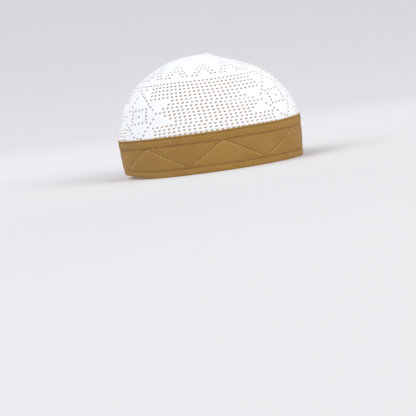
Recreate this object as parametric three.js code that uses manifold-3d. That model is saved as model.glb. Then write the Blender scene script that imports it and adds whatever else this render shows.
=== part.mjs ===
// Knitted cap: a domed, pierced crown whose lower edge is tucked into a quilted cloth band.
// Millimetres, +Z up, +X to the front. The origin is the middle of the rim, at the height of its lowest edge.
import * as THREE from 'three';
import { mergeVertices } from 'three/addons/utils/BufferGeometryUtils.js';
import Module from 'manifold-3d';

// Head opening, on the band's outer face
const HALF_LENGTH = 96; // at the band's top edge
const RIM_NARROWING = 2.9; // the rim's half-length is this much less
const WIDTH_RATIO = 0.85; // width over length at the band
const TOP_RATIO = 1.1; // the sections of the crown get rounder towards its tip
const ROUNDING_POWER = 4; // and do so mostly near it

// Band
const BAND_HEIGHT = 40.2;
const BAND_WALL = 2.4;
const FOLD_RADIUS = 1.1; // the cloth's turned lower edge
const ROLL_WIDTH = 1.35; // the thin rolled top edge, from the band's face to its inner side
const ROLL_HEIGHT = 1.8;
const ROLL_SETBACK = 0.2; // the roll's outer side lies this far behind the band's face
const ROLL_TOP = BAND_HEIGHT;
const ROLL_MIDDLE = BAND_HEIGHT - ROLL_HEIGHT / 2;
const ROLL_FOOT = BAND_HEIGHT - ROLL_HEIGHT;
const FULL_WALL_HEIGHT = BAND_HEIGHT - 2 * ROLL_HEIGHT; // below it the band has its full thickness
const STITCH_GROOVE = 0.6; // depth of the sewn lines
const LOWER_STITCHES = 8.5; // heights of the two sewn rows that the zigzag runs between
const UPPER_STITCHES = 31.3;
const ZIGZAG_LEGS = 13;
const LEG_STEPS = 6;
const SEGMENTS = ZIGZAG_LEGS * LEG_STEPS;
const SEAM_STEP = 56; // the band's closing seam, in steps from the middle of the right side

// Crown
const CROWN_WALL = 1.8;
const SEAT_GAP = 0.35; // between the crown's tucked edge and the band
const TUCK_DEPTH = 13;
const OUTER_RINGS = 13;
const INNER_RINGS = 9;
const DOME = [
  { rise: 0.4, halfLength: 94.5, shift: 0 },
  { rise: 9.5, halfLength: 92.9, shift: -0.1 },
  { rise: 18.7, halfLength: 90.3, shift: -0.3 },
  { rise: 27.9, halfLength: 87.0, shift: -1.3 },
  { rise: 36.1, halfLength: 82.2, shift: -2.3 },
  { rise: 44.6, halfLength: 75.3, shift: -2.9 },
  { rise: 51.8, halfLength: 67.9, shift: -4.0 },
  { rise: 57.9, halfLength: 60.1, shift: -4.9 },
  { rise: 63.5, halfLength: 50.3, shift: -7.0 },
  { rise: 67.2, halfLength: 41.7, shift: -7.9 },
  { rise: 71.1, halfLength: 32.3, shift: -9.0 },
  { rise: 74.2, halfLength: 23.4, shift: -8.6 },
  { rise: 76.9, halfLength: 12.5, shift: -3.1 },
  { rise: 78.2, halfLength: 4.1, shift: 4.1 },
  { rise: 78.9, halfLength: 0, shift: 7.4 },
];
const TIP_RISE = DOME.at(-1).rise;

// Knitted pattern: stitch columns round the cap, eyelet rows up from the band
const COLUMNS = 99;
const REPEATS = 3; // one star in each
const FIRST_ROW_RISE = 3.3;
const ROW_RISE = 3.32;
const STAR_COLUMN = 18.5; // of the front right star at row 0, from the middle of the right side
const COLUMN_LEAN = -0.15; // columns that the pattern leans by in each row
const EYELET_WIDTH = 2.4;
const EYELET_HEIGHT = 2.0;
const EYELET_SIDES = 4; // a lozenge
const EYELET_CUT = 8; // length of the cutter, well over the wall
// Eyelets of one star and the diamond round it, at these column distances on both sides of its middle
const STAR_ROWS = [
  { row: 12, columns: [1.2] },
  { row: 11, columns: [2.1] },
  { row: 10, columns: [2.8] },
  { row: 9, columns: [3.4] },
  { row: 8, columns: [0, 1.25, 2.5, 4.0] },
  { row: 7, columns: [2.4, 4.5] },
  { row: 6, columns: [0, 2.4] },
  { row: 5, columns: [2.4, 4.5] },
  { row: 4, columns: [0, 1.25, 2.5, 3.85] },
  { row: 3, columns: [3.2] },
  { row: 2, columns: [2.5] },
  { row: 1, columns: [1.9] },
];

const KNIT_WHITE = new THREE.MeshStandardMaterial({ color: '#fafafc', roughness: 0.9, metalness: 0 });
const BAND_MUSTARD = new THREE.MeshStandardMaterial({ color: '#a57d46', roughness: 0.95, metalness: 0 });

const wasm = await Module();
wasm.setup();

// Length along the head opening's ellipse, from the middle of the right side towards the front
const ARC_STEPS = 720;
const arcLengths = [0];
for (let i = 1; i <= ARC_STEPS; i += 1) {
  const angle = ((i - 0.5) / ARC_STEPS) * 2 * Math.PI;
  const speed = Math.hypot(Math.cos(angle), WIDTH_RATIO * Math.sin(angle));
  arcLengths.push(arcLengths[i - 1] + speed);
}

// Angle on the ellipse at a share of its perimeter
function ellipseAngle(turn) {
  const share = turn - Math.floor(turn);
  const target = share * arcLengths[ARC_STEPS];
  const above = arcLengths.findIndex((length) => length > target);
  const below = above - 1;
  const part = (target - arcLengths[below]) / (arcLengths[above] - arcLengths[below]);
  return ((below + part) / ARC_STEPS) * 2 * Math.PI;
}

function onSection(turn, section) {
  const angle = ellipseAngle(turn);
  const x = section.shift + section.halfLength * Math.sin(angle);
  const y = -section.halfLength * section.ratio * Math.cos(angle);
  return new THREE.Vector3(x, y, section.height);
}

function ring(sectionOfStep) {
  return Array.from({ length: SEGMENTS }, (_, step) => onSection(step / SEGMENTS, sectionOfStep(step)));
}

// Closed skin over a run of rings, down the outside and up the inside. A ring of one point is a tip. Where
// forward(step) is true, the faces of that step are split along the line that rises with the steps.
function skin(rings, forward) {
  const starts = [];
  rings.reduce((count, points) => {
    starts.push(count);
    return count + points.length;
  }, 0);
  const index = (i, step) => starts[i] + (rings[i].length === 1 ? 0 : step % SEGMENTS);
  const faces = [];
  const addFace = (a, b, c) => {
    if (a !== b && b !== c && c !== a) faces.push(a, b, c);
  };
  for (let i = 0; i < rings.length; i += 1) {
    const next = (i + 1) % rings.length;
    if (rings[i].length === 1 && rings[next].length === 1) continue;
    for (let step = 0; step < SEGMENTS; step += 1) {
      const [upper, upperNext] = [index(i, step), index(i, step + 1)];
      const [lower, lowerNext] = [index(next, step), index(next, step + 1)];
      if (forward(step)) {
        addFace(upper, lower, upperNext);
        addFace(lower, lowerNext, upperNext);
      } else {
        addFace(upper, lower, lowerNext);
        addFace(upper, lowerNext, upperNext);
      }
    }
  }
  const geometry = new THREE.BufferGeometry().setFromPoints(rings.flat());
  geometry.setIndex(faces);
  return geometry;
}

// Level of the zigzag at a step round the band: 0 on the lower sewn row, LEG_STEPS on the upper one
function zigzagLevel(step) {
  const fromSeam = (step - SEAM_STEP + SEGMENTS) % SEGMENTS;
  return Math.abs(LEG_STEPS - (fromSeam % (2 * LEG_STEPS)));
}

function zigzagRises(step) {
  const fromSeam = (step - SEAM_STEP + SEGMENTS) % SEGMENTS;
  return fromSeam % (2 * LEG_STEPS) >= LEG_STEPS;
}

function bandSection(height, inset) {
  const narrowing = RIM_NARROWING * (1 - height / BAND_HEIGHT);
  return { height, halfLength: HALF_LENGTH - narrowing - inset, ratio: WIDTH_RATIO, shift: 0 };
}

function bandGeometry() {
  const above = [
    { height: ROLL_TOP, inset: (ROLL_SETBACK + ROLL_WIDTH) / 2 },
    { height: ROLL_MIDDLE, inset: ROLL_SETBACK },
    { height: ROLL_FOOT, inset: STITCH_GROOVE },
    { height: (UPPER_STITCHES + ROLL_FOOT) / 2, inset: 0 },
  ];
  const below = [
    { height: (LOWER_STITCHES + FOLD_RADIUS) / 2, inset: 0 },
    { height: FOLD_RADIUS, inset: 0 },
    { height: 0, inset: FOLD_RADIUS },
    { height: 0, inset: BAND_WALL },
    { height: FULL_WALL_HEIGHT, inset: BAND_WALL },
    { height: ROLL_MIDDLE, inset: ROLL_WIDTH },
  ];
  const plainRing = ({ height, inset }) => ring(() => bandSection(height, inset));
  const levelRing = (level) => {
    const height = THREE.MathUtils.mapLinear(level, 0, LEG_STEPS, LOWER_STITCHES, UPPER_STITCHES);
    const isRow = level === 0 || level === LEG_STEPS;
    return ring((step) => bandSection(height, isRow || zigzagLevel(step) === level ? STITCH_GROOVE : 0));
  };
  const quilted = Array.from({ length: LEG_STEPS + 1 }, (_, i) => levelRing(LEG_STEPS - i));
  return skin([...above.map(plainRing), ...quilted, ...below.map(plainRing)], zigzagRises);
}

const domeLine = new THREE.CatmullRomCurve3(
  DOME.map(({ rise, halfLength, shift }) => new THREE.Vector3(halfLength, shift, rise)),
);

function domeSection(halfLength, shift, rise) {
  const roundness = THREE.MathUtils.clamp(rise / TIP_RISE, 0, 1) ** ROUNDING_POWER;
  const ratio = THREE.MathUtils.lerp(WIDTH_RATIO, TOP_RATIO, roundness);
  return { height: BAND_HEIGHT + rise, halfLength, ratio, shift };
}

// Rings of the dome from its tip down to the band, each moved inwards across the wall by depth
function domeRings(count, depth) {
  const rings = [];
  for (let i = 1; i < count; i += 1) {
    const share = 1 - i / count;
    const point = domeLine.getPointAt(share);
    const tangent = domeLine.getTangentAt(share);
    const slope = Math.hypot(tangent.x, tangent.z);
    const halfLength = point.x - (depth * tangent.z) / slope;
    const rise = point.z + (depth * tangent.x) / slope;
    rings.push(ring(() => domeSection(halfLength, point.y, rise)));
  }
  return rings;
}

function crownGeometry() {
  const tip = (depth) => [onSection(0, domeSection(0, DOME.at(-1).shift, TIP_RISE - depth))];
  const seat = BAND_WALL + SEAT_GAP;
  const firstRise = ROLL_TOP + DOME[0].rise;
  const firstInset = HALF_LENGTH - DOME[0].halfLength;
  const tucked = [
    { height: firstRise, inset: firstInset },
    { height: ROLL_MIDDLE, inset: ROLL_WIDTH + SEAT_GAP },
    { height: FULL_WALL_HEIGHT, inset: seat },
    { height: ROLL_TOP - TUCK_DEPTH, inset: seat },
    { height: ROLL_TOP - TUCK_DEPTH, inset: seat + CROWN_WALL },
    { height: FULL_WALL_HEIGHT, inset: seat + CROWN_WALL },
    { height: firstRise, inset: firstInset + CROWN_WALL },
  ];
  const tuckedRings = tucked.map(({ height, inset }) => ring(() => bandSection(height, inset)));
  const outer = [tip(0), ...domeRings(OUTER_RINGS, 0)];
  const inner = [...domeRings(INNER_RINGS, CROWN_WALL).reverse(), tip(CROWN_WALL)];
  return skin([...outer, ...tuckedRings, ...inner], () => false);
}

function toSolid(geometry) {
  geometry.deleteAttribute('normal');
  geometry.deleteAttribute('uv');
  const merged = mergeVertices(geometry);
  const vertProperties = new Float32Array(merged.attributes.position.array);
  const triVerts = new Uint32Array(merged.index.array);
  return new wasm.Manifold(new wasm.Mesh({ numProp: 3, vertProperties, triVerts }));
}

function toGeometry(solid) {
  const { vertProperties, triVerts } = solid.getMesh();
  const geometry = new THREE.BufferGeometry();
  geometry.setAttribute('position', new THREE.BufferAttribute(new Float32Array(vertProperties), 3));
  geometry.setIndex(new THREE.BufferAttribute(new Uint32Array(triVerts), 1));
  geometry.computeVertexNormals();
  return geometry;
}

const SAMPLES_PER_SECTION = 20;
const domeSamples = domeLine.getPoints(SAMPLES_PER_SECTION * DOME.length);

// Point of the crown's outer face at a pattern column and row
function onCrown(column, row) {
  const rise = FIRST_ROW_RISE + ROW_RISE * row;
  const above = domeSamples.findIndex((sample) => sample.z > rise);
  const [low, high] = [domeSamples[above - 1], domeSamples[above]];
  const sample = low.clone().lerp(high, (rise - low.z) / (high.z - low.z));
  const turn = (STAR_COLUMN + column + COLUMN_LEAN * row) / COLUMNS;
  return onSection(turn, domeSection(sample.x, sample.y, rise));
}

// Cutter that stands square to the crown's face
function eyeletCutter(column, row) {
  const along = onCrown(column + 0.5, row).sub(onCrown(column - 0.5, row)).normalize();
  const up = onCrown(column, row + 0.5).sub(onCrown(column, row - 0.5));
  const outward = along.clone().cross(up).normalize();
  const down = along.clone().cross(outward);
  const middle = onCrown(column, row).addScaledVector(outward, -CROWN_WALL / 2);
  const place = new THREE.Matrix4().makeBasis(
    along.multiplyScalar(EYELET_WIDTH / 2),
    outward,
    down.multiplyScalar(EYELET_HEIGHT / 2),
  );
  place.setPosition(middle);
  return new THREE.CylinderGeometry(1, 1, EYELET_CUT, EYELET_SIDES).applyMatrix4(place);
}

function piercedCrownGeometry() {
  let crown = toSolid(crownGeometry());
  for (let repeat = 0; repeat < REPEATS; repeat += 1) {
    for (const { row, columns } of STAR_ROWS) {
      const places = columns.flatMap((column) => (column === 0 ? [0] : [-column, column]));
      for (const column of places) {
        const cutter = toSolid(eyeletCutter(column + (repeat * COLUMNS) / REPEATS, row));
        crown = crown.subtract(cutter);
      }
    }
  }
  return toGeometry(crown);
}

const crown = new THREE.Mesh(piercedCrownGeometry(), KNIT_WHITE);
crown.name = 'crown';

const band = new THREE.Mesh(bandGeometry(), BAND_MUSTARD);
band.name = 'band';

const cap = new THREE.Group();
cap.add(crown, band);

export default cap;
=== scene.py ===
import math

import bpy
import numpy as np
from mathutils import Matrix, Vector


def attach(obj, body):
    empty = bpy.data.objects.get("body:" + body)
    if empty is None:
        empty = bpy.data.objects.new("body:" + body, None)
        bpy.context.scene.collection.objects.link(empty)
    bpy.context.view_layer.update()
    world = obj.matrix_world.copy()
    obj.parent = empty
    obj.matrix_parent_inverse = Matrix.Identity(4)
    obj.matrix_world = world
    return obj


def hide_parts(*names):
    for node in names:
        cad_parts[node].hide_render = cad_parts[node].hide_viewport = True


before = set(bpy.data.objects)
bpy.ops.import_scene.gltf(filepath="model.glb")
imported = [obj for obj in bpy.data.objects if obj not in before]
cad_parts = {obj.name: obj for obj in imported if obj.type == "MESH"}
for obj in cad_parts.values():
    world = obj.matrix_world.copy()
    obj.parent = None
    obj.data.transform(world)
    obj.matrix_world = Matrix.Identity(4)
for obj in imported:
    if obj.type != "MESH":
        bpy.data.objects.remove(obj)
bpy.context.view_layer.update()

MM = 0.001

# Sizes of the cap in millimetres, with the ratios that shape its oval
HALF_LENGTH = 96.0  # of the oval at the band's top edge
WIDTH_RATIO = 0.85  # of the oval's width to its length
TOP_RATIO = 1.1  # the same at the tip
ROUNDING_POWER = 4
RIM_NARROWING = 2.9
BAND_HEIGHT = 40.7
DOME_FOOT = 40.2
BAND_WALL = 2.4
CROWN_WALL = 1.3
FOLD_RADIUS = 1.1
ROLL_WIDTH = 1.35
ROLL_HEIGHT = 1.8
ROLL_SETBACK = 0.2
ROLL_MIDDLE = BAND_HEIGHT - ROLL_HEIGHT / 2
ROLL_LINE = ROLL_MIDDLE - ROLL_HEIGHT / 2 - 0.1
FULL_WALL_HEIGHT = BAND_HEIGHT - 2 * ROLL_HEIGHT
LOWER_STITCHES = 7.1
UPPER_STITCHES = 31.2
SEAT_GAP = 0.35
TUCK_DEPTH = 13.0
TIP_RISE = 78.9

# How the worn cap departs from an even oval. Each span is two places along x, and each fade two
# heights or rises, between which the change comes in or goes out.
BACK_BULGE = 1.7
BULGE_SPAN = (-58, -93)
BULGE_FADE = (4, 26)
CORNER_LIFT = 4.4
LIFT_FADE = (0, 16)
SIDE_RISE = 0.8
SIDE_SPAN = (5, 45)
FRONT_RISE = 1.8
FRONT_SPAN = (62, 96)
RISE_FADE = (18, BAND_HEIGHT)

# Sections of the dome: rise above its foot, half length and shift to the front
DOME = np.array([
    (0.4, 94.5, 0.0), (9.5, 92.9, -0.1), (18.7, 90.3, -0.3), (27.9, 87.0, -1.3), (36.1, 82.2, -2.3),
    (44.6, 75.3, -2.9), (51.8, 67.9, -4.0), (57.9, 60.1, -4.9), (63.5, 50.3, -7.0), (67.2, 41.7, -7.9),
    (71.1, 32.3, -9.0), (74.2, 23.4, -8.6), (76.9, 12.5, -3.1), (78.2, 4.1, 4.1), (78.9, 0.0, 7.4),
])
DOME_STEPS = 40
OVAL_STEPS = 1440


def smooth_line(points, steps):
    """Centripetal Catmull-Rom line through the points."""
    ends = np.vstack([2 * points[0] - points[1], points, 2 * points[-1] - points[-2]])
    out = []
    u = np.linspace(0, 1, steps, endpoint=False)[:, None]
    for i in range(1, len(ends) - 2):
        before, start, end, after = ends[i - 1 : i + 3]
        pairs = ((before, start), (start, end), (end, after))
        first, gap, last = [math.sqrt(np.linalg.norm(b - a)) for a, b in pairs]
        leave = ((start - before) / first - (end - before) / (first + gap) + (end - start) / gap) * gap
        arrive = ((end - start) / gap - (after - start) / (gap + last) + (after - end) / last) * gap
        left = (2 * u**3 - 3 * u**2 + 1) * start + (u**3 - 2 * u**2 + u) * leave
        out.append(left + (-2 * u**3 + 3 * u**2) * end + (u**3 - u**2) * arrive)
    return np.vstack([*out, points[-1][None]])


def smoothstep(low, high, value):
    t = np.clip((value - low) / (high - low), 0, 1)
    return t * t * (3 - 2 * t)


def running_totals(steps):
    """Total before each step and, last, of them all."""
    return np.concatenate([[0], np.cumsum(steps)])


# Length round the oval, as a share, at even angles from the middle of the right side to the front
ANGLES = np.linspace(0, 2 * np.pi, OVAL_STEPS + 1)
MIDDLES = (ANGLES[1:] + ANGLES[:-1]) / 2
WALKED = running_totals(np.hypot(np.cos(MIDDLES), WIDTH_RATIO * np.sin(MIDDLES)))
PERIMETER = HALF_LENGTH * WALKED[-1] * (ANGLES[1] - ANGLES[0])
TURNS = WALKED / WALKED[-1]


def oval_angle(turn):
    return np.interp(np.asarray(turn) % 1, TURNS, ANGLES)


def back_bulge(x):
    """Share of the slight bulge at the very back."""
    return smoothstep(*BULGE_SPAN, x)


def new_mesh(name, points, faces, attributes, material_index, materials):
    """Object of smooth faces from points in millimetres. Each attribute is a list of three numbers a
    point, and the length of the loop after which its first number starts again, or None."""
    mesh = bpy.data.meshes.new(name)
    mesh.from_pydata((points * MM).tolist(), [], faces)
    sizes = np.array([len(face) for face in faces])
    starts = running_totals(sizes)[:-1]
    corners = np.concatenate([np.asarray(face) for face in faces])
    for label, (values, loop) in attributes.items():
        at_corners = values[corners].astype(np.float64)
        if loop:
            first = at_corners[:, 0]
            highest = np.repeat(np.maximum.reduceat(first, starts), sizes)
            at_corners[:, 0] = np.where(highest - first > loop / 2, first + loop, first)
        layer = mesh.attributes.new(label, "FLOAT_VECTOR", "CORNER")
        layer.data.foreach_set("vector", at_corners.astype(np.float32).ravel())
    for material in materials:
        mesh.materials.append(material)
    mesh.polygons.foreach_set("material_index", np.asarray(material_index, dtype=np.int32))
    mesh.polygons.foreach_set("use_smooth", np.ones(len(faces), dtype=bool))
    mesh.update()
    piece = bpy.data.objects.new(name, mesh)
    bpy.context.collection.objects.link(piece)
    return piece


# Materials

FULL_TURN = 2 * math.pi
WEAVE_PITCH = 3.0
RIDGE_SHIFT = 1.15  # of the zigzag's raised ridge below its sewn line, which is also lightened as a painted highlight
# Kinds of sewn line, in the attribute sewn
ON_ZIGZAG, ON_ROW, ON_ROLL = 0, 1, 2
# Sockets of Blender's mix node for colours
MIX_INPUTS = (0, 6, 7)
MIX_OUTPUT = 2


class Nodes:
    """Short names for making a node material."""

    def __init__(self, name):
        self.material = bpy.data.materials.new(name)
        self.material.use_nodes = True
        self.tree = self.material.node_tree
        self.shader = self.tree.nodes["Principled BSDF"]

    def add(self, kind, **values):
        node = self.tree.nodes.new(kind)
        for key, value in values.items():
            setattr(node, key, value)
        return node

    def feed(self, target, source):
        """Set the target socket to a number or a colour, or link the source socket to it."""
        if isinstance(source, tuple):
            target.default_value = (*source, 1)
        elif isinstance(source, (int, float)):
            target.default_value = source
        else:
            self.tree.links.new(source, target)

    def maths(self, operation, a, b=0.0, c=0.0, clamp=False):
        node = self.add("ShaderNodeMath", operation=operation, use_clamp=clamp)
        for socket, value in zip(node.inputs, (a, b, c)):
            self.feed(socket, value)
        return node.outputs[0]

    def scaled(self, value, by, plus, clamp=False):
        return self.maths("MULTIPLY_ADD", value, by, plus, clamp)

    def wave(self, operation, value, rate):
        return self.maths(operation, self.maths("MULTIPLY", value, rate))

    def split(self, vector):
        node = self.add("ShaderNodeSeparateXYZ")
        self.feed(node.inputs[0], vector)
        return node.outputs

    def attribute(self, name):
        """The three numbers of a mesh attribute."""
        return self.split(self.add("ShaderNodeAttribute", attribute_name=name).outputs["Vector"])

    def coordinates(self):
        return self.add("ShaderNodeTexCoord").outputs["Object"]

    def noise(self, vector, scale, detail=2.0, roughness=0.5):
        node = self.add("ShaderNodeTexNoise")
        values = {"Vector": vector, "Scale": scale, "Detail": detail, "Roughness": roughness}
        for label, value in values.items():
            self.feed(node.inputs[label], value)
        return node.outputs["Fac"]

    def mix(self, factor, first, second):
        node = self.add("ShaderNodeMix", data_type="RGBA")
        for index, value in zip(MIX_INPUTS, (factor, first, second)):
            self.feed(node.inputs[index], value)
        return node.outputs[MIX_OUTPUT]

    def bump(self, height, strength, distance):
        node = self.add("ShaderNodeBump")
        for label, value in {"Height": height, "Strength": strength, "Distance": distance}.items():
            self.feed(node.inputs[label], value)
        return node.outputs[0]

    def shade(self, sockets):
        """Feed the shader's sockets and give the material."""
        for label, value in sockets.items():
            self.feed(self.shader.inputs[label], value)
        return self.material


def knit_material(name, light, shade, sheen=0.0, glow_colour=(1.0, 1.0, 1.0), glow=0.0):
    """Knitted cotton: rows of small V stitches. The attribute knit holds wale, course and how far a
    point is inside the pierced fields, where the thread stands in ridges. The colour is mixed from a lit and
    a
    shaded white: painted shade where the stitch relief is low and in a soft mottle, and a painted
    highlight in the pierced fields."""
    m = Nodes(name)
    wale, course, pierced = m.attribute("knit")
    across = m.maths("ABSOLUTE", m.maths("SUBTRACT", m.maths("FRACT", wale), 0.5))
    along = m.maths("ADD", course, m.maths("MULTIPLY", across, 1.1))
    loops = m.wave("SINE", along, FULL_TURN)
    arms = m.wave("SINE", across, FULL_TURN)
    stitches = m.maths("MULTIPLY", m.scaled(loops, by=0.4, plus=0.6), arms)
    coordinates = m.coordinates()
    fuzz = m.noise(coordinates, scale=2600, detail=3)
    mottle = m.noise(coordinates, scale=430, detail=2, roughness=0.6)
    height = m.scaled(fuzz, by=0.5, plus=stitches)
    # Painted shade and highlight: darker where the stitches lie low and in the mottle, lighter in the pierced
    # fields
    tone = m.scaled(mottle, by=2.2, plus=m.scaled(stitches, by=0.3, plus=-0.85))
    tone = m.scaled(pierced, by=0.55, plus=tone, clamp=True)
    return m.shade({
        "Base Color": m.mix(tone, shade, light),
        "Normal": m.bump(height, strength=0.5, distance=0.00025),
        "Roughness": 0.85,
        "Sheen Weight": sheen,
        "Sheen Roughness": 0.5,
        "Specular IOR Level": 0.25,
        "Emission Color": glow_colour,
        "Emission Strength": glow,
    })


def cloth_material(name):
    """Mustard cloth with a fine diagonal weave. The attribute cloth holds length and height in
    millimetres. The attribute sewn holds the stitch count along the nearest sewn line, the distance
    to it and the kind of line."""
    m = Nodes(name)
    length, height, _ = m.attribute("cloth")
    count, signed, kind = m.attribute("sewn")
    pitch = FULL_TURN / WEAVE_PITCH
    rising = m.maths("ADD", length, height)
    up = m.wave("SINE", rising, pitch)
    down = m.wave("SINE", m.maths("SUBTRACT", length, height), pitch)
    threads = m.wave("SINE", rising, 3 * pitch)
    weave = m.maths("MULTIPLY", m.maths("ADD", up, down), 0.5)
    coordinates = m.coordinates()
    broad = m.noise(coordinates, scale=45, detail=3)
    fibres = m.noise(coordinates, scale=1300, detail=4, roughness=0.7)
    # Painted shade in the needle holes between the stitches, along the sewn lines and in the line under the
    # roll, and a painted highlight on the ridge under the zigzag
    distance = m.maths("ABSOLUTE", signed)
    beat = m.wave("COSINE", count, FULL_TURN)
    hole = m.scaled(beat, by=1.5, plus=-0.35, clamp=True)
    zigzag = m.maths("SUBTRACT", ON_ROW, kind, clamp=True)
    roll = m.maths("SUBTRACT", kind, ON_ROW, clamp=True)
    near = m.maths("SUBTRACT", m.scaled(roll, by=-0.45, plus=1.25), distance, clamp=True)
    crease_shade = m.scaled(roll, by=0.12, plus=m.scaled(zigzag, by=-0.12, plus=0.26))
    # Painted shade: near black is mixed in at the needle holes, along the sewn lines and under the roll
    painted_shade = m.maths("MULTIPLY", near, m.scaled(hole, by=0.48, plus=crease_shade), clamp=True)
    off_ridge = m.maths("ABSOLUTE", m.maths("ADD", signed, RIDGE_SHIFT))
    ridge = m.maths("MULTIPLY", m.maths("SUBTRACT", 1.0, off_ridge, clamp=True), zigzag)
    ridge = m.maths("MULTIPLY", ridge, m.scaled(beat, by=-0.3, plus=0.7))
    ridge = m.maths("MULTIPLY", ridge, m.scaled(broad, by=1.25, plus=-0.15))
    grain = m.scaled(threads, by=0.08, plus=m.maths("MULTIPLY", fibres, 0.55))
    tone = m.scaled(weave, by=0.36, plus=grain)
    tone = m.scaled(broad, by=0.5, plus=tone, clamp=True)
    colour = m.mix(tone, (0.252, 0.131, 0.031), (0.438, 0.252, 0.071))
    # Painted highlight on the ridge under the zigzag
    colour = m.mix(ridge, colour, (0.62, 0.40, 0.15))
    pricked = m.maths("MULTIPLY_ADD", hole, m.maths("MULTIPLY", near, -1.5), weave)
    relief = m.scaled(fibres, by=0.8, plus=pricked)
    return m.shade({
        "Base Color": m.mix(painted_shade, colour, (0.10, 0.050, 0.014)),
        "Normal": m.bump(relief, strength=0.55, distance=0.0003),
        "Roughness": 0.9,
        "Sheen Weight": 0.1,
        "Sheen Roughness": 0.45,
        "Specular IOR Level": 0.2,
    })


def thread_material(name):
    m = Nodes(name)
    twist = m.noise(m.coordinates(), scale=1800, detail=2)
    return m.shade({
        "Base Color": m.mix(twist, (0.34, 0.18, 0.052), (0.56, 0.34, 0.12)),
        "Normal": m.bump(twist, strength=0.4, distance=0.0001),
        "Roughness": 0.6,
    })


def backdrop_material(name):
    """Pale grey with a painted pool of light: lighter behind the cap, darker on the floor in front and up the
    sweep and the wall.
    """
    m = Nodes(name)
    coordinates = m.coordinates()
    grain = m.noise(coordinates, scale=3, detail=2)
    depth = m.split(coordinates)[1]
    colour = m.mix(grain, (0.715, 0.71, 0.72), (0.73, 0.725, 0.735))
    # Painted light: steps of colour, lighter behind the cap and darker again towards the wall
    for start, end, painted_light_step in ((-0.5, 0.8, (0.905, 0.895, 0.907)), (1.2, 2.3, (0.785, 0.775, 0.788))):
        share = m.add("ShaderNodeMapRange", interpolation_type="SMOOTHSTEP")
        for label, value in {"Value": depth, "From Min": start, "From Max": end}.items():
            m.feed(share.inputs[label], value)
        colour = m.mix(share.outputs[0], colour, painted_light_step)
    return m.shade({"Base Color": colour, "Roughness": 1.0, "Specular IOR Level": 0.0})


KNIT = knit_material("white_knit", light=(0.955, 0.96, 0.972), shade=(0.885, 0.903, 0.95), sheen=0.15)
# The inside and the eyelet walls are tan copies of the white knit in painted shade, and they glow: painted
# light that stands in for the light a thin knit lets through
KNIT_INSIDE_PAINTED_SHADE_GLOW = knit_material(
    "knit_inside_painted_shade_glow",
    light=(0.70, 0.61, 0.54),
    shade=(0.63, 0.54, 0.47),
    glow_colour=(1.0, 0.78, 0.63),
    glow=0.235,
)
# The eyelet walls: painted shade in tan, with a fainter painted glow
KNIT_EDGE_PAINTED_SHADE_GLOW = knit_material(
    "knit_edge_painted_shade_glow",
    light=(0.64, 0.57, 0.52),
    shade=(0.57, 0.50, 0.45),
    glow_colour=(1.0, 0.80, 0.67),
    glow=0.15,
)
CLOTH = cloth_material("mustard_cloth")
THREAD = thread_material("mustard_thread")

# The knitted crown

# Places round it are in columns, 99 of them, from the middle of the right side to the front. The
# pattern has 97 units round, one for each eyelet of the ring, with four wales to a unit and four
# courses to a row.
COLUMNS = 99
UNITS = 97
WALES = 4
COURSES = 4
TOTAL_WALES = UNITS * WALES
PERIOD = UNITS / 3
MIDDLE_COLUMN = 0.6
EVEN_UNITS = 18  # on both sides of the middle of the near side
LEAN_START = 0.6
ROW_LEAN = 0.085  # units that the pattern leans by in each row
RING_ROW = 14
TOP_ROW = 16
FIRST_ROW_RISE = 4.7
ROW_RISE = 3.456
ROW_CROWDING = 0.667  # lost from the rise by the tenth row

# Columns taken by one unit at each row
PITCH_ROWS = (-1, 0, 2, 4, 6, 8, 10, 12, 14, 16, 20)
PITCHES = (0.985, 0.985, 0.96, 0.95, 0.955, 0.995, 1.02, 1.036, 1.05, 1.0, 0.99)
# How far the rows bend up or down across a field, in millimetres, at rows 0, 6 and 12
BEND_STEP = 6
BEND_UNITS = (-16.17, -12.5, -9.5, -6.0, -1.5, 2.5, 6.5, 9.5, 13.0, 16.16)
LOW_BEND = (-1.2, -1.2, -0.65, 0.25, 0.45, 0.2, 0.1, 0.1, 0.3, -1.2)
MIDDLE_BEND = (-1.0, -1.0, -0.2, 0.15, -0.1, -0.4, -0.6, -0.7, -0.1, -1.0)
HIGH_BEND = (1.0, 0.8, 1.1, 1.0, 0.4, -0.1, 0.0, 0.1, 0.45, 1.0)
BEND_START = (-1.8, -0.2)
BEND_END = (15, 18)
# How the wales crowd towards the gathered tip: rises, and columns of drift once and twice round
DRIFT_RISES = (57, 65, 71, 79)
SINGLE_DRIFT = (0, 1.05, 2.0, 2.6)
DOUBLE_DRIFT = (0, 1.5, 3.5, 4.5)

LINE = smooth_line(DOME, DOME_STEPS)
LINE[:, 0] = np.maximum.accumulate(LINE[:, 0] + 1e-9 * np.arange(len(LINE)))
LINE_LENGTH = running_totals(np.hypot(np.diff(LINE[:, 0]), np.diff(LINE[:, 1])))
TIP_LENGTH = LINE_LENGTH[-1]


def row_rise(row):
    return FIRST_ROW_RISE + ROW_RISE * row - ROW_CROWDING * (row / 10) ** 2


def length_at(rise):
    return np.interp(rise, LINE[:, 0], LINE_LENGTH)


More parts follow.
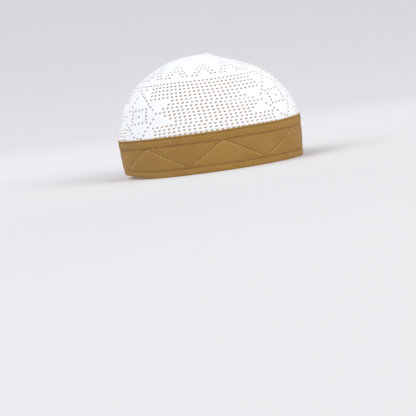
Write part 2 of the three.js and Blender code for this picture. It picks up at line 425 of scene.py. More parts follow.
def crown_levels():
    """Each level of the crown's grid, from the tucked edge up: rise, inset, row, and wales in its ring."""
    seat = BAND_WALL + SEAT_GAP
    tucked = (
        (-TUCK_DEPTH, seat), (-10.5, seat), (-7.5, seat), (-5.0, seat),
        (-3.0, seat - 0.4), (-1.4, 1.95), (-0.4, 1.62),
    )
    tucked_row_rise, top_row_rise = 3.4, 3.6
    levels = [(rise, inset, -1 + rise / tucked_row_rise, TOTAL_WALES) for rise, inset in tucked]
    for course in range(-COURSES, TOP_ROW * COURSES + 1):
        row = course / COURSES
        levels.append((row_rise(row), 0, row, TOTAL_WALES))
    # Where each stretch above the rows ends, about the step between its levels, and its wales
    stretches = (
        (length_at(69.0), 1.0, TOTAL_WALES),
        (TIP_LENGTH - 8, 1.25, TOTAL_WALES // 2),
        (TIP_LENGTH - 0.9, 0.9, TOTAL_WALES // 4),
    )
    length = length_at(row_rise(TOP_ROW))
    row = float(TOP_ROW)
    for stop, about, wales in stretches:
        count = max(1, round((stop - length) / about))
        step = (stop - length) / count
        for _ in range(count):
            length += step
            row += step / top_row_rise
            levels.append((np.interp(length, LINE_LENGTH, LINE[:, 0]), 0, row, wales))
    return np.array(levels)


LEVELS = crown_levels()
RISES, INSETS, ROWS = LEVELS[:, 0], LEVELS[:, 1], LEVELS[:, 2]
LEVEL_INDEX = np.arange(len(LEVELS))
RING_WALES = LEVELS[:, 3].astype(int)
RING_START = running_totals(RING_WALES)


def in_period(unit):
    """Units from the middle of the nearest field."""
    return (unit + PERIOD / 2) % PERIOD - PERIOD / 2


def row_bend(unit, row):
    """How far a row bends at a unit of the pattern, fading out above the rows and below them."""
    local = in_period(unit)
    low, middle, high = [np.interp(local, BEND_UNITS, bend) for bend in (LOW_BEND, MIDDLE_BEND, HIGH_BEND)]
    lower = low + (middle - low) * np.clip(row / BEND_STEP, 0, 1)
    bend = lower + (high - lower) * np.clip((row - BEND_STEP) / BEND_STEP, 0, 1)
    return bend * smoothstep(*BEND_START, row) * (1 - smoothstep(*BEND_END, row))


def column_of(unit, row):
    """Column of a unit of the pattern: even over the near side, and stretched to close at the back."""
    pitch = np.interp(row, PITCH_ROWS, PITCHES)
    leaned = (unit + LEAN_START - ROW_LEAN * np.clip(row, -1, RING_ROW) + UNITS / 2) % UNITS - UNITS / 2
    size = np.abs(leaned)
    far = (COLUMNS / 2 - EVEN_UNITS * pitch) / (UNITS / 2 - EVEN_UNITS)
    distance = np.where(size < EVEN_UNITS, size * pitch, EVEN_UNITS * pitch + (size - EVEN_UNITS) * far)
    return MIDDLE_COLUMN + np.sign(leaned) * distance


def top_drift(column, rise):
    """How the wales crowd towards the gathered tip, in columns."""
    turn = 2 * np.pi * column / COLUMNS
    single = np.interp(rise, DRIFT_RISES, SINGLE_DRIFT)
    double = np.interp(rise, DRIFT_RISES, DOUBLE_DRIFT)
    return single * np.cos(turn) + double * np.sin(2 * turn)


def crown_place(wale, level):
    """Column and rise of a wale and a level."""
    unit = wale / WALES
    row = np.interp(level, LEVEL_INDEX, ROWS)
    rise = np.interp(level, LEVEL_INDEX, RISES) + row_bend(unit, row)
    column = column_of(unit, row)
    return column + top_drift(column, rise), rise


def dome_point(column, rise, inset):
    """Point of the dome's outer face, or below its foot a point of the edge that is tucked in the
    band, moved in by inset."""
    foot_rise = 0.2
    half, shift = [np.interp(rise, LINE[:, 0], LINE[:, axis]) for axis in (1, 2)]
    half = np.where(rise < foot_rise, HALF_LENGTH + RIM_NARROWING * rise / BAND_HEIGHT - inset, half)
    ratio = WIDTH_RATIO + (TOP_RATIO - WIDTH_RATIO) * np.clip(rise / TIP_RISE, 0, 1) ** ROUNDING_POWER
    angle = oval_angle(column / COLUMNS)
    x = shift + half * np.sin(angle)
    y = -half * ratio * np.cos(angle)
    x = x - BACK_BULGE * back_bulge(x) * (1 - smoothstep(*BULGE_FADE, rise))
    return np.stack([x, y, DOME_FOOT + rise + 0 * x], -1)


def crown_surface(wale, level):
    """Points of the crown's outer face at wales and levels."""
    column, rise = crown_place(wale, level)
    return dome_point(column, rise, np.interp(level, LEVEL_INDEX, INSETS))


def crown_normal(wale, level):
    wale_step, level_step = 0.3, 0.5
    across = crown_surface(wale + wale_step, level) - crown_surface(wale - wale_step, level)
    low = np.clip(level - level_step, 0, None)
    high = np.clip(level + level_step, None, len(LEVELS) - 1)
    up = crown_surface(wale, high) - crown_surface(wale, low)
    normal = np.cross(across, up)
    return normal / np.linalg.norm(normal, axis=-1, keepdims=True)


# The eyelets

# Each is a wale, a level, a width and a height. A field's rows hold this many, centred on its middle.
FIELD_COUNTS = {
    -1: 25, 0: 25, 1: 25, 2: 26, 3: 16, 4: 18, 5: 20, 6: 24,
    7: 20, 8: 17, 9: 15, 10: 25, 11: 25, 12: 25, 13: 25,
}
FIELD_WIDTH = 2.85
FIELD_HEIGHT = 1.78
FIELD_GROWTH = 0.028  # of the height, in each row
STAR_WIDTH = 2.55
STAR_HEIGHT = 1.95
STAR_GROWTH = 0.007  # of the height, in each millimetre of rise
RING_WIDTH = 2.6
RING_HEIGHT = 2.1
RING_SHIFT = 0.1  # of a unit
LEAF_SIZE = 2.5

# A star and the diamond round it, charted from its middle eyelet: columns across and millimetres up
STAR = (
    (0, 0), (2.0, 7.4), (1.0, 7.0), (0, 6.7), (-1.1, 6.3), (-2.1, 5.8), (2.0, 4.0), (2.0, 0.4), (1.95, -2.8),
    (-2.05, 2.6), (-2.05, -0.8), (-2.05, -4.2), (2.1, -6.1), (1.1, -6.35), (0.1, -6.6), (-1.0, -7.0),
    (-2.05, -7.45),
    (3.8, -3.9), (3.1, -7.6), (2.5, -11.2), (1.95, -14.9), (1.5, -18.8), (0.9, -22.3),
    (-3.8, -6.6), (-2.95, -9.5), (-2.3, -12.6), (-1.6, -15.9), (-0.95, -19.6), (0.0, -21.6),
)
LEFT_STAR_TOP = (
    (3.7, 5.6), (3.05, 8.8), (2.4, 12.2), (1.6, 15.3), (0.75, 18.1), (-0.1, 20.4), (-1.15, 22.9),
    (-3.4, 6.9), (-2.7, 10.5), (-2.3, 14.5), (-2.1, 18.4), (0.1, 26.1), (-0.65, 26.3), (-1.8, 26.0),
    (-3.05, 25.7),
)
RIGHT_STAR_TOP = (
    (-3.75, 3.6), (-2.95, 7.2), (-2.2, 10.6), (-1.3, 14.3), (-0.15, 17.9), (1.25, 21.0),
    (4.7, 6.0), (4.35, 9.3), (3.8, 12.6), (3.15, 15.7), (2.5, 18.4), (0.1, 23.6), (1.5, 23.7), (3.1, 24.2),
)
# Each star: column and rise of its middle, how far it is spread across, and its eyelets
STARS = (
    (-14.8, 23.35, 1.0, STAR + LEFT_STAR_TOP),
    (15.97, 26.75, 1.0, STAR + RIGHT_STAR_TOP),
    (50.1, 25.0, 1.1, STAR + LEFT_STAR_TOP),
)

# The leaf peaks under the tip. Five stand evenly on the near side, and the others share the rest.
LEAVES = 12
MIDDLE_LEAF = 1.57
NEAR_LEAVES = (-2, -1, 0, 1, 2)
NEAR_LEAF_PITCH = 8.0
LAST_NEAR_LEAF = 17.57
FAR_LEAF_PITCH = 8.375
LEAF_TILT = 0.9
# Rows of a leaf: rise, columns from its middle on both sides, size
LEAF_ROWS = (
    (57.9, (2.0, 3.3), 1.0), (60.7, (1.4, 2.7), 1.0), (63.5, (0.68, 2.15), 0.95), (66.1, (0, 1.5), 0.85),
    (67.7, (0.75,), 0.7), (70.1, (0,), 0.55), (72.5, (0,), 0.45),
)

GRID_TRIES = 40
GRID_PULL = 0.8


def level_of_row(row):
    return float(np.interp(row, ROWS, LEVEL_INDEX))


def grid_place(column, rise):
    """Wale and level that lie at a column and a rise."""
    level = float(np.interp(rise, RISES, LEVEL_INDEX))
    wale = (column - MIDDLE_COLUMN) * WALES
    for _ in range(GRID_TRIES):
        found_column, found_rise = crown_place(wale, level)
        gap = (column - found_column + COLUMNS / 2) % COLUMNS - COLUMNS / 2
        wale += GRID_PULL * gap * WALES
        slope = np.interp(level + 0.5, LEVEL_INDEX, RISES) - np.interp(level - 0.5, LEVEL_INDEX, RISES)
        level += GRID_PULL * float(rise - found_rise) / slope
    return float(wale), level


def field_eyelets():
    found = []
    for repeat in (-1, 0, 1):
        for row, count in FIELD_COUNTS.items():
            level = level_of_row(row)
            height = FIELD_HEIGHT + FIELD_GROWTH * max(row, 0)
            for i in range(count):
                wale = (repeat * PERIOD + i - (count - 1) / 2) * WALES
                found.append((wale, level, FIELD_WIDTH, height))
    return found


def star_eyelets():
    found = []
    for column, middle_rise, spread, star in STARS:
        for across, up in star:
            place = grid_place(column + across * spread, middle_rise + up)
            found.append((*place, STAR_WIDTH, STAR_HEIGHT + STAR_GROWTH * (middle_rise + up)))
    return found


def ring_eyelets():
    level = level_of_row(RING_ROW)
    return [((i - RING_SHIFT) * WALES, level, RING_WIDTH, RING_HEIGHT) for i in range(UNITS)]


def leaf_eyelets():
    near = [MIDDLE_LEAF + NEAR_LEAF_PITCH * i for i in NEAR_LEAVES]
    far = [LAST_NEAR_LEAF + FAR_LEAF_PITCH * (i + 1) for i in range(LEAVES - len(NEAR_LEAVES))]
    found = []
    for middle in near + far:
        lift = -LEAF_TILT * math.sin(2 * math.pi * middle / COLUMNS)
        for rise, offsets, size in LEAF_ROWS:
            both_sides = sorted({side * offset for offset in offsets for side in (-1, 1)})
            for offset in both_sides:
                column = middle + float(top_drift(middle, rise)) + offset
                found.append((*grid_place(column, rise + lift), LEAF_SIZE * size, LEAF_SIZE * size))
    return found


# The eight grid points round a middle one, as steps along the wales and the levels
AROUND = [(i, j) for i in (-1, 0, 1) for j in (-1, 0, 1) if i or j]
EYELET_SLANT = math.radians(9)


def eyelet_rim(wale, level, width, height):
    """Wale and level of each of the eight points of a slanting oval rim."""
    step_wale = crown_surface(wale + 0.5, level) - crown_surface(wale - 0.5, level)
    step_level = crown_surface(wale, level + 0.5) - crown_surface(wale, level - 0.5)
    across = float(np.linalg.norm(step_wale))
    skew = float(step_level @ step_wale) / across
    up = math.sqrt(max(float(step_level @ step_level) - skew**2, 1e-6))
    rim = {}
    for i, j in AROUND:
        phase = math.atan2(j, i)
        wide, high = width / 2 * math.cos(phase), height / 2 * math.sin(phase)
        dx = wide * math.cos(EYELET_SLANT) - high * math.sin(EYELET_SLANT)
        dy = wide * math.sin(EYELET_SLANT) + high * math.cos(EYELET_SLANT)
        rim[i, j] = (wale + (dx - dy / up * skew) / across, level + dy / up)
    return rim


def pierced_grid():
    """Wale and level of each point of the outer face, the points on rims, and the faces that the
    eyelets take. An eyelet that would share a point with an earlier one is left out."""
    rim_points = {}
    removed = set()
    for wale, level, width, height in field_eyelets() + star_eyelets() + ring_eyelets() + leaf_eyelets():
        ring = int(round(level))
        while RING_WALES[ring - 1] != RING_WALES[ring + 1]:
            ring += 1
        count = int(RING_WALES[ring])
        spot = int(round(wale / (TOTAL_WALES // count)))
        block = {(i, j): int(RING_START[ring + j]) + (spot + i) % count for i, j in AROUND}
        if any(point in rim_points for point in block.values()):
            continue
        for step, place in eyelet_rim(wale, level, width, height).items():
            rim_points[block[step]] = place
        removed |= {(ring + j, (spot + i) % count) for i in (-1, 0) for j in (-1, 0)}
    wale_of = np.concatenate([np.arange(n) * (TOTAL_WALES // n) for n in RING_WALES]).astype(float)
    level_of = np.repeat(LEVEL_INDEX, RING_WALES).astype(float)
    rims = np.array(sorted(rim_points))
    wale_of[rims] = [rim_points[point][0] for point in rims]
    level_of[rims] = [rim_points[point][1] for point in rims]
    return wale_of, level_of, rims, removed


# Relief of the knit, in millimetres
RIDGE_HEIGHT = 0.2
RIB_HEIGHT = 0.2
RIBS = 32
RIM_SINK = 0.14
SWELL = 0.55
FRONT_SWELL = 0.3
TIP_COURSE = 110


def pierced_share(wale, row):
    """How far each point is inside the pierced fields or the ring, where the knit stands in ridges."""
    lowest, highest = min(FIELD_COUNTS), max(FIELD_COUNTS)
    halves = np.array([FIELD_COUNTS[at] / 2 for at in sorted(FIELD_COUNTS)])
    half_here = halves[np.clip(np.round(row), lowest, highest).astype(int) - lowest]
    past_side = np.abs(in_period(wale / WALES)) - half_here
    in_field = (1 - smoothstep(0.0, 0.7, past_side)) * (1 - smoothstep(13.4, 13.9, row))
    in_field = in_field * smoothstep(-1.6, -1.1, row)
    return np.maximum(in_field, 1 - smoothstep(0.4, 0.8, np.abs(row - RING_ROW)))


def crown_relief(wale, level, row, pierced):
    """Ridges between the rows of eyelets, ribs at the gathered tip, and a worn knit's unevenness."""
    column, rise = crown_place(wale, level)
    length = length_at(rise)
    turn = 2 * np.pi * column / COLUMNS
    ridges = -RIDGE_HEIGHT * np.cos(2 * np.pi * row) * pierced
    gather = smoothstep(TIP_LENGTH - 36, TIP_LENGTH - 10, length)
    gather = gather * (1 - 0.6 * smoothstep(TIP_LENGTH - 6, TIP_LENGTH, length))
    ribs = RIB_HEIGHT * gather * np.cos(2 * np.pi * wale / TOTAL_WALES * RIBS)
    soft = 0.16 * np.sin(5 * turn + 0.09 * rise + 1.3) * np.sin(0.13 * rise + 2.1 * np.sin(turn))
    soft += 0.10 * np.sin(11 * turn - 0.17 * rise + 0.4) * np.sin(0.21 * rise + 1.1)
    soft *= smoothstep(1, 12, rise) * (1 - smoothstep(TIP_LENGTH - 20, TIP_LENGTH - 8, length))
    swell = (SWELL + FRONT_SWELL * np.sin(turn)) * smoothstep(0.2, 0.7, np.abs(np.sin(turn)))
    swell = swell * smoothstep(24, 44, rise)
    swell *= 1 - smoothstep(TIP_LENGTH - 8, TIP_LENGTH - 1, length)
    return ridges + ribs + soft + swell


def outer_faces(removed):
    """Faces of the crown's outer side, without those that the eyelets take."""
    faces = []
    for ring in range(len(LEVELS) - 1):
        low, high = RING_START[ring], RING_START[ring + 1]
        n_low, n_high = RING_WALES[ring], RING_WALES[ring + 1]
        for j in range(n_high):
            k = (j + 1) % n_high
            if n_low != n_high:
                face = (low + 2 * j, low + 2 * j + 1, low + (2 * j + 2) % n_low, high + k, high + j)
                faces.append(face)
            elif (ring, j) not in removed:
                faces.append((low + j, low + k, high + k, high + j))
    last, tip = RING_START[-2], RING_START[-1]
    n_last = RING_WALES[-1]
    faces += [(last + j, last + (j + 1) % n_last, tip) for j in range(n_last)]
    return [tuple(int(point) for point in face) for face in faces]


def make_crown():
    """One closed shell: the outer side, the inner side, and the walls of the eyelets and the edge."""
    wale_of, level_of, rims, removed = pierced_grid()
    row_of = np.interp(level_of, LEVEL_INDEX, ROWS)
    pierced = pierced_share(wale_of, row_of)
    relief = crown_relief(wale_of, level_of, row_of, pierced)
    relief[rims] -= RIM_SINK
    normals = crown_normal(wale_of, level_of)
    base = crown_surface(wale_of, level_of)
    tip = np.array([[DOME[-1, 2], 0, DOME_FOOT + TIP_RISE]])
    outer = np.vstack([base + normals * relief[:, None], tip])
    inner = np.vstack([base - normals * CROWN_WALL, tip - [[0, 0, CROWN_WALL]]])
    side = len(outer)
    out_faces = outer_faces(removed)
    in_faces = [tuple(side + point for point in reversed(face)) for face in out_faces]
    edges = dict.fromkeys(edge for face in out_faces for edge in zip(face, face[1:] + face[:1]))
    walls = [(b, a, side + a, side + b) for a, b in edges if (b, a) not in edges]
    # The inner side and the eyelet walls take the tan knits of painted shade and glow
    kinds = [0] * len(out_faces) + [1] * len(in_faces) + [2] * len(walls)
    knit = np.vstack([np.stack([wale_of, row_of * COURSES, pierced], -1), [[0, TIP_COURSE, 0]]])
    attributes = {"knit": (np.vstack([knit, knit]), TOTAL_WALES)}
    faces = out_faces + in_faces + walls
    points = np.vstack([outer, inner])
    return new_mesh("crown_knit", points, faces, attributes, kinds, [KNIT, KNIT_INSIDE_PAINTED_SHADE_GLOW, KNIT_EDGE_PAINTED_SHADE_GLOW])


# The cloth band

# Length round it is in millimetres from the middle of the right side to the front. Its two sewn rows
# and the rolled edge have the same number of stitches.
BAND_STEPS = 800
SEAM = -156.3
STITCHES_ROUND = 172
STITCH = PERIMETER / STITCHES_ROUND
# Places of the zigzag's turns, with a peak first
TURNING = (SEAM, -114.0, -72.2, -26.9, 11.9, 56.0, 97.4, 142.0, 185.0, 228.5, 272.0, 315.5, 359.0, 402.6)
PEAK_HEIGHT = UPPER_STITCHES - 1.1
VALLEY_HEIGHT = LOWER_STITCHES + 2.1
FLAT_TURN = 3.4
CORNER = 1.6
CORNER_SOFTNESS = 0.15


def zigzag_points():
    """The zigzag line as length and height, with its peaks under the upper sewn row and its valleys
    over the lower."""
    out = []
    for i, middle in enumerate(TURNING):
        height, inward = (PEAK_HEIGHT, CORNER) if i % 2 == 0 else (VALLEY_HEIGHT, -CORNER)
        if i > 0:
            out.append((middle - FLAT_TURN - CORNER, height - inward))
            out.append((middle - FLAT_TURN + CORNER / 2, height - inward * CORNER_SOFTNESS))
        out.append((middle, height))
        if i < len(TURNING) - 1:
            out.append((middle + FLAT_TURN - CORNER / 2, height - inward * CORNER_SOFTNESS))
            out.append((middle + FLAT_TURN + CORNER, height - inward))
    return np.array(out)


ZIGZAG = zigzag_points()
ZIGZAG_LENGTH = running_totals(np.hypot(*np.diff(ZIGZAG, axis=0).T))
ZIGZAG_STITCHES = int(ZIGZAG_LENGTH[-1] / STITCH)


def nearest_on_zigzag(length, height):
    """Distance to the zigzag, signed + above it, and the stitch count along it."""
    best = np.full(length.shape, 1e9)
    side = np.zeros(length.shape)
    along = np.zeros(length.shape)
    for start, end, walked in zip(ZIGZAG[:-1], ZIGZAG[1:], ZIGZAG_LENGTH):
        direction = end - start
        size = float(np.hypot(*direction))
        direction = direction / size
        for loop in (-PERIMETER, 0.0, PERIMETER):
            dx = length + loop - start[0]
            dy = height - start[1]
            part = np.clip(dx * direction[0] + dy * direction[1], 0, size)
            gap = np.hypot(dx - part * direction[0], dy - part * direction[1])
            closer = gap < best
            best = np.where(closer, gap, best)
            side = np.where(closer, np.sign(direction[0] * dy - direction[1] * dx), side)
            along = np.where(closer, walked + part, along)
    return best * np.where(side < 0, -1, 1), along * ZIGZAG_STITCHES / ZIGZAG_LENGTH[-1]


def band_point(length, height, inset, out):
    """Point of the band: inset shrinks its section, and out moves it along the face's own normal. The
    worn band bulges a little at the back, lifts at its lower back corner and rises at the front."""
    half = HALF_LENGTH - RIM_NARROWING * (1 - height / BAND_HEIGHT) - inset
    angle = oval_angle(length / PERIMETER)
    x, y = half * np.sin(angle), -half * WIDTH_RATIO * np.cos(angle)
    nx, ny = WIDTH_RATIO * np.sin(angle), -np.cos(angle)
    size = np.hypot(nx, ny)
    back = back_bulge(x)
    rise = SIDE_RISE * smoothstep(*SIDE_SPAN, x) + FRONT_RISE * smoothstep(*FRONT_SPAN, x)
    z = height + CORNER_LIFT * back * (1 - smoothstep(*LIFT_FADE, height))
    z = z + rise * smoothstep(*RISE_FADE, height)
    return np.stack([x + out * nx / size - BACK_BULGE * back, y + out * ny / size, z + 0 * x], -1)


# Heights of the inner face, and the outer points under the roll: drop below the roll's line, inset
INNER_HEIGHTS = (1.4, 4, 8, 12, 16, 20, 24, 28, 32, 35, FULL_WALL_HEIGHT)
ROLL_FOOT = ((-0.05, 0.95), (0.25, 0.8), (0.5, 0.35), (0.9, 0.08))
OUTER_TOP_DROP = 1.5
OUTER_STEP = 0.7
# Around a sewn row the outer face has these points, and no others this near
ROW_OFFSETS = (-0.95, -0.5, -0.2, 0.12, 0.5, 0.95)
ROW_REACH = 1.2
FOLD_DEGREES = (0, 22, 45, 68, 90)
OUTSIDE_FOLD_DEGREES = 40


def band_section():
    """The section, from the foot of the inner face up, over the roll and down the outer face: height,
    inset, and 1 where the outer face has relief."""
    section = [(height, BAND_WALL, 0) for height in INNER_HEIGHTS]
    section.append((ROLL_MIDDLE - 1.6, 1.9, 0))
    roll_inset = ROLL_SETBACK + ROLL_WIDTH / 2
    for degrees in range(180, -51, -23):
        angle = math.radians(degrees)
        height = ROLL_MIDDLE + ROLL_HEIGHT / 2 * math.sin(angle)
        section.append((height, roll_inset - ROLL_WIDTH / 2 * math.cos(angle), 0))
    section += [(ROLL_LINE - drop, inset, 1) for drop, inset in ROLL_FOOT]
    heights = list(np.arange(ROLL_LINE - OUTER_TOP_DROP, FOLD_RADIUS + 0.3, -OUTER_STEP))
    for row_height in (UPPER_STITCHES, LOWER_STITCHES):
        heights = [height for height in heights if abs(height - row_height) > ROW_REACH]
        heights += [row_height + offset for offset in ROW_OFFSETS]
    section += [(height, 0.0, 1) for height in sorted(heights, reverse=True)]
    for degrees in FOLD_DEGREES:
        angle = math.radians(degrees)
        outside = 1 if degrees < OUTSIDE_FOLD_DEGREES else 0
        section.append((FOLD_RADIUS * (1 - math.sin(angle)), FOLD_RADIUS * (1 - math.cos(angle)), outside))
    section += [(0.0, 1.7, 0), (0.5, 2.25, 0)]
    return np.array(section)


def groove(distance, depth, width):
    return -depth * np.exp(-((distance / width) ** 2))


def stitch_pinch(count):
    """1 at a needle hole, between two stitches, and 0 at the middle of a stitch."""
    return 0.5 + 0.5 * np.cos(2 * np.pi * count)


def band_relief(length, height, signed, row_count, zigzag_count):
    """Grooves of the sewn lines and the seam, the zigzag's ridge, and the padding between them."""
    upper, lower = height - UPPER_STITCHES, height - LOWER_STITCHES
    seam_gap = (length - SEAM + PERIMETER / 2) % PERIMETER - PERIMETER / 2
    closest = np.minimum(np.minimum(np.abs(signed), np.abs(upper)), np.abs(lower))
    puff = 0.34 * smoothstep(0, 6, closest) * smoothstep(0, 4, height) * smoothstep(40, 35, height)
    row_pinch = 1 + stitch_pinch(row_count)
    relief = groove(upper, depth=0.3, width=0.75) * row_pinch
    relief = relief + groove(lower, depth=0.24, width=0.7) * row_pinch + puff - 0.15
    relief += groove(signed, depth=0.22, width=0.6) * (1 + stitch_pinch(zigzag_count))
    relief += groove(signed + RIDGE_SHIFT, depth=-0.24, width=0.6) + groove(seam_gap, depth=0.5, width=0.6)
    relief += 0.12 * np.sin(length * 0.11 + 0.3 * height) * np.sin(0.35 * height + 0.07 * length)
    return relief


def nearest_sewn(height, outside, signed, row_count, zigzag_count):
    """The attribute sewn: stitch count, signed distance and kind of the nearest sewn line."""
    upper, lower, edge = [height - line for line in (UPPER_STITCHES, LOWER_STITCHES, ROLL_LINE)]
    far_away = 9
    straight = np.where(np.abs(upper) < np.abs(lower), upper, lower)
    kind = np.where(np.abs(edge) < np.abs(straight), ON_ROLL, ON_ROW)
    straight = np.where(kind == ON_ROLL, edge, straight)
    on_zigzag = np.abs(signed) < np.abs(straight)
    gap = np.where(outside > 0, np.where(on_zigzag, signed, straight), far_away)
    count = np.where(on_zigzag, zigzag_count, row_count)
    return np.stack([count, gap, np.where(on_zigzag, ON_ZIGZAG, kind)], -1)


def make_band():
    section = band_section()
    shape = (len(section), BAND_STEPS)
    length = SEAM + np.broadcast_to(np.arange(BAND_STEPS) * PERIMETER / BAND_STEPS, shape)
    height, inset, outside = [np.broadcast_to(section[:, axis][:, None], shape) for axis in (0, 1, 2)]
    signed, zigzag_count = nearest_on_zigzag(length, height)
    row_count = (length - SEAM) / STITCH
    relief = band_relief(length, height, signed, row_count, zigzag_count)
    relief = relief * outside * smoothstep(ROLL_LINE + 0.1, ROLL_LINE - 1.2, height)
    points = band_point(length, height, inset, relief).reshape(-1, 3)
    faces = []
    for i in range(len(section)):
        low, high = i * BAND_STEPS, ((i + 1) % len(section)) * BAND_STEPS
        for j in range(BAND_STEPS):
            k = (j + 1) % BAND_STEPS
            faces.append((low + j, high + j, high + k, low + k))
    cloth = np.stack([length, height, 0 * height], -1).reshape(-1, 3)
    sewn = nearest_sewn(height, outside, signed, row_count, zigzag_count).reshape(-1, 3)
    attributes = {"cloth": (cloth, PERIMETER), "sewn": (sewn, None)}
    return new_mesh("band_cloth", points, faces, attributes, [0] * len(faces), [CLOTH])


# Sewn threads, one small arched piece for each stitch

NEEDLE_GAP = 0.5  # from a needle hole to the thread's end, in the rows
ZIGZAG_ENDS = (0.18, 0.82)  # the same in the zigzag, as shares of a stitch
THREAD_RADIUS = 0.26
THREAD_DEPTH = 0.5
ARCH_HEIGHT = 0.3
ARCH_SINK = 0.06
END_SHARE = 0.55  # of the radius, at a thread's ends
ARCH_SHARE = 0.45  # of the radius, added at the middle of its arch
THREAD_RINGS, THREAD_SIDES = 5, 6


def thread_runs():
    """The two ends of each stitch, as length and height, with a needle hole between it and the next."""
    runs = []
    for height in (UPPER_STITCHES, LOWER_STITCHES):
        for i in range(STITCHES_ROUND):
            start = SEAM + i * STITCH
            runs.append(((start + NEEDLE_GAP, height), (start + STITCH - NEEDLE_GAP, height)))
    for i in range(ZIGZAG_STITCHES):
        ends = []
        for part in ZIGZAG_ENDS:
            at = (i + part) * ZIGZAG_LENGTH[-1] / ZIGZAG_STITCHES
            ends.append(tuple(np.interp(at, ZIGZAG_LENGTH, ZIGZAG[:, axis]) for axis in (0, 1)))
        runs.append(tuple(ends))
    return runs


def thread_points(start, end):
    """Points of one arched thread that dips into the cloth at its ends."""
    a, b = [band_point(np.float64(length), height, 0.0, -THREAD_DEPTH) for length, height in (start, end)]
    length, height = start
    surface = band_point(np.float64(length), height, 0.0, 0.0)
    outward = band_point(np.float64(length), height, 0.0, 1.0) - surface
    sideways = np.cross((b - a) / np.linalg.norm(b - a), outward)
    points = []
    for i in range(THREAD_RINGS):
        part = i / (THREAD_RINGS - 1)
        arch = math.sin(math.pi * part)
        size = THREAD_RADIUS * (END_SHARE + ARCH_SHARE * math.sqrt(max(arch, 0.0)))
        middle = a + (b - a) * part + outward * (ARCH_HEIGHT * arch - ARCH_SINK)
        for j in range(THREAD_SIDES):
            angle = 2 * math.pi * j / THREAD_SIDES
            points.append(middle + (outward * math.cos(angle) * size + sideways * math.sin(angle) * size))
    return points


def thread_faces(start):
    faces = []
    for i in range(THREAD_RINGS - 1):
        low, high = start + i * THREAD_SIDES, start + (i + 1) * THREAD_SIDES
        for j in range(THREAD_SIDES):
            k = (j + 1) % THREAD_SIDES
            faces.append((low + j, high + j, high + k, low + k))
    last = start + (THREAD_RINGS - 1) * THREAD_SIDES
    faces.append(tuple(start + j for j in range(THREAD_SIDES)))
    faces.append(tuple(last + j for j in reversed(range(THREAD_SIDES))))
    return faces


def make_stitches():
    points, faces = [], []
    for start, end in thread_runs():
        faces += thread_faces(len(points))
        points += thread_points(start, end)
    return new_mesh("band_stitches", np.array(points), faces, {}, [0] * len(faces), [THREAD])


# Stage, light and camera, in metres

METRE = 1000  # in millimetres
STAGE_HALF_WIDTH = 5.0
FLOOR_PLACES = (-4.0, -1.5, 0.5, 1.2)
SWEEP_RADIUS = 1.6
WALL_PLACE = 2.8
WALL_HEIGHTS = (2.6, 5.0)
LIGHT_AIM = Vector((0, 0, 0.06))
# Name, place, size, watts and colour
LIGHTS = (
    ("key", (1.7, -1.3, 1.1), 1.4, 26, (1.0, 0.99, 0.975)),
    ("fill", (-1.65, -1.1, 1.9), 1.6, 24, (0.965, 0.985, 1.0)),
    ("top", (-1.4, -0.1, 1.9), 2.0, 7, (1.0, 1.0, 1.0)),
)
WORLD_COLOUR = (0.95, 0.965, 1.0, 1)
WORLD_STRENGTH = 0.635

# The camera looks at the middle of the rim, which lies at this pixel of the picture
TILT = 0.0719
ROLL = -0.1395
DISTANCE = 1.4736
PICTURE_SIZE = 416
FOCAL_PIXELS = 1400
SENSOR_WIDTH = 36
RIM_PIXEL_X = 215.36
RIM_PIXEL_Y = 166.25


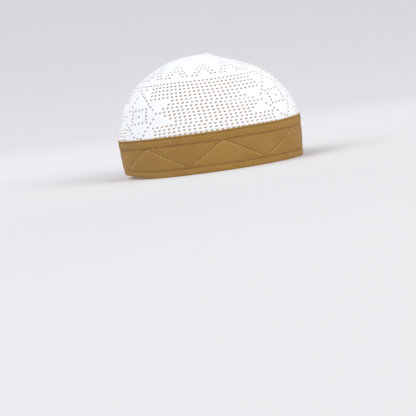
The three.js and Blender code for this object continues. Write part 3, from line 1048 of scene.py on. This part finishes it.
def make_backdrop():
    """A floor that sweeps up into a wall behind the cap."""
    bend = FLOOR_PLACES[-1]
    profile = [(y, 0.0) for y in FLOOR_PLACES]
    for angle in np.linspace(0.06, math.pi / 2, 26):
        profile.append((bend + SWEEP_RADIUS * math.sin(angle), SWEEP_RADIUS - SWEEP_RADIUS * math.cos(angle)))
    profile += [(WALL_PLACE, z) for z in WALL_HEIGHTS]
    points = [(x, y, z) for y, z in profile for x in (-STAGE_HALF_WIDTH, STAGE_HALF_WIDTH)]
    faces = [(2 * i, 2 * i + 1, 2 * i + 3, 2 * i + 2) for i in range(len(profile) - 1)]
    material = backdrop_material("backdrop")
    return new_mesh("backdrop", np.array(points) * METRE, faces, {}, [0] * len(faces), [material])


def make_lights():
    for name, place, size, watts, colour in LIGHTS:
        data = bpy.data.lights.new(name, "AREA")
        data.shape = "RECTANGLE"
        data.size, data.size_y = size, size
        data.energy = watts
        data.color = colour
        light = bpy.data.objects.new(name, data)
        light.location = place
        light.rotation_euler = (LIGHT_AIM - Vector(place)).to_track_quat("-Z", "Y").to_euler()
        bpy.context.collection.objects.link(light)
    world = bpy.data.worlds.new("studio")
    bpy.context.scene.world = world
    world.use_nodes = True
    background = world.node_tree.nodes["Background"]
    background.inputs["Color"].default_value = WORLD_COLOUR
    background.inputs["Strength"].default_value = WORLD_STRENGTH


def make_camera():
    back = Vector((0, -math.cos(TILT), math.sin(TILT)))
    level_up = Vector((0, math.sin(TILT), math.cos(TILT)))
    right = Vector((1, 0, 0)) * math.cos(ROLL) + level_up * math.sin(ROLL)
    up = back.cross(right)
    data = bpy.data.cameras.new("camera")
    data.sensor_width = SENSOR_WIDTH
    data.lens = SENSOR_WIDTH * FOCAL_PIXELS / PICTURE_SIZE
    data.shift_x = -(RIM_PIXEL_X - PICTURE_SIZE / 2) / PICTURE_SIZE
    data.shift_y = -(PICTURE_SIZE / 2 - RIM_PIXEL_Y) / PICTURE_SIZE
    camera = bpy.data.objects.new("camera", data)
    turned = Matrix((right, up, back)).transposed().to_4x4()
    camera.matrix_world = Matrix.Translation(back * DISTANCE) @ turned
    bpy.context.collection.objects.link(camera)
    return camera


# The pieces, and what each rides on and stands for

crown = make_crown()
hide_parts("crown")
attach(crown, "root")

band = make_band()
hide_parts("band")
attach(band, "root")

stitches = make_stitches()
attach(stitches, "root")

stage_piece = make_backdrop()
make_lights()
bpy.context.scene.camera = make_camera()
bpy.context.scene.view_settings.view_transform = "Standard"
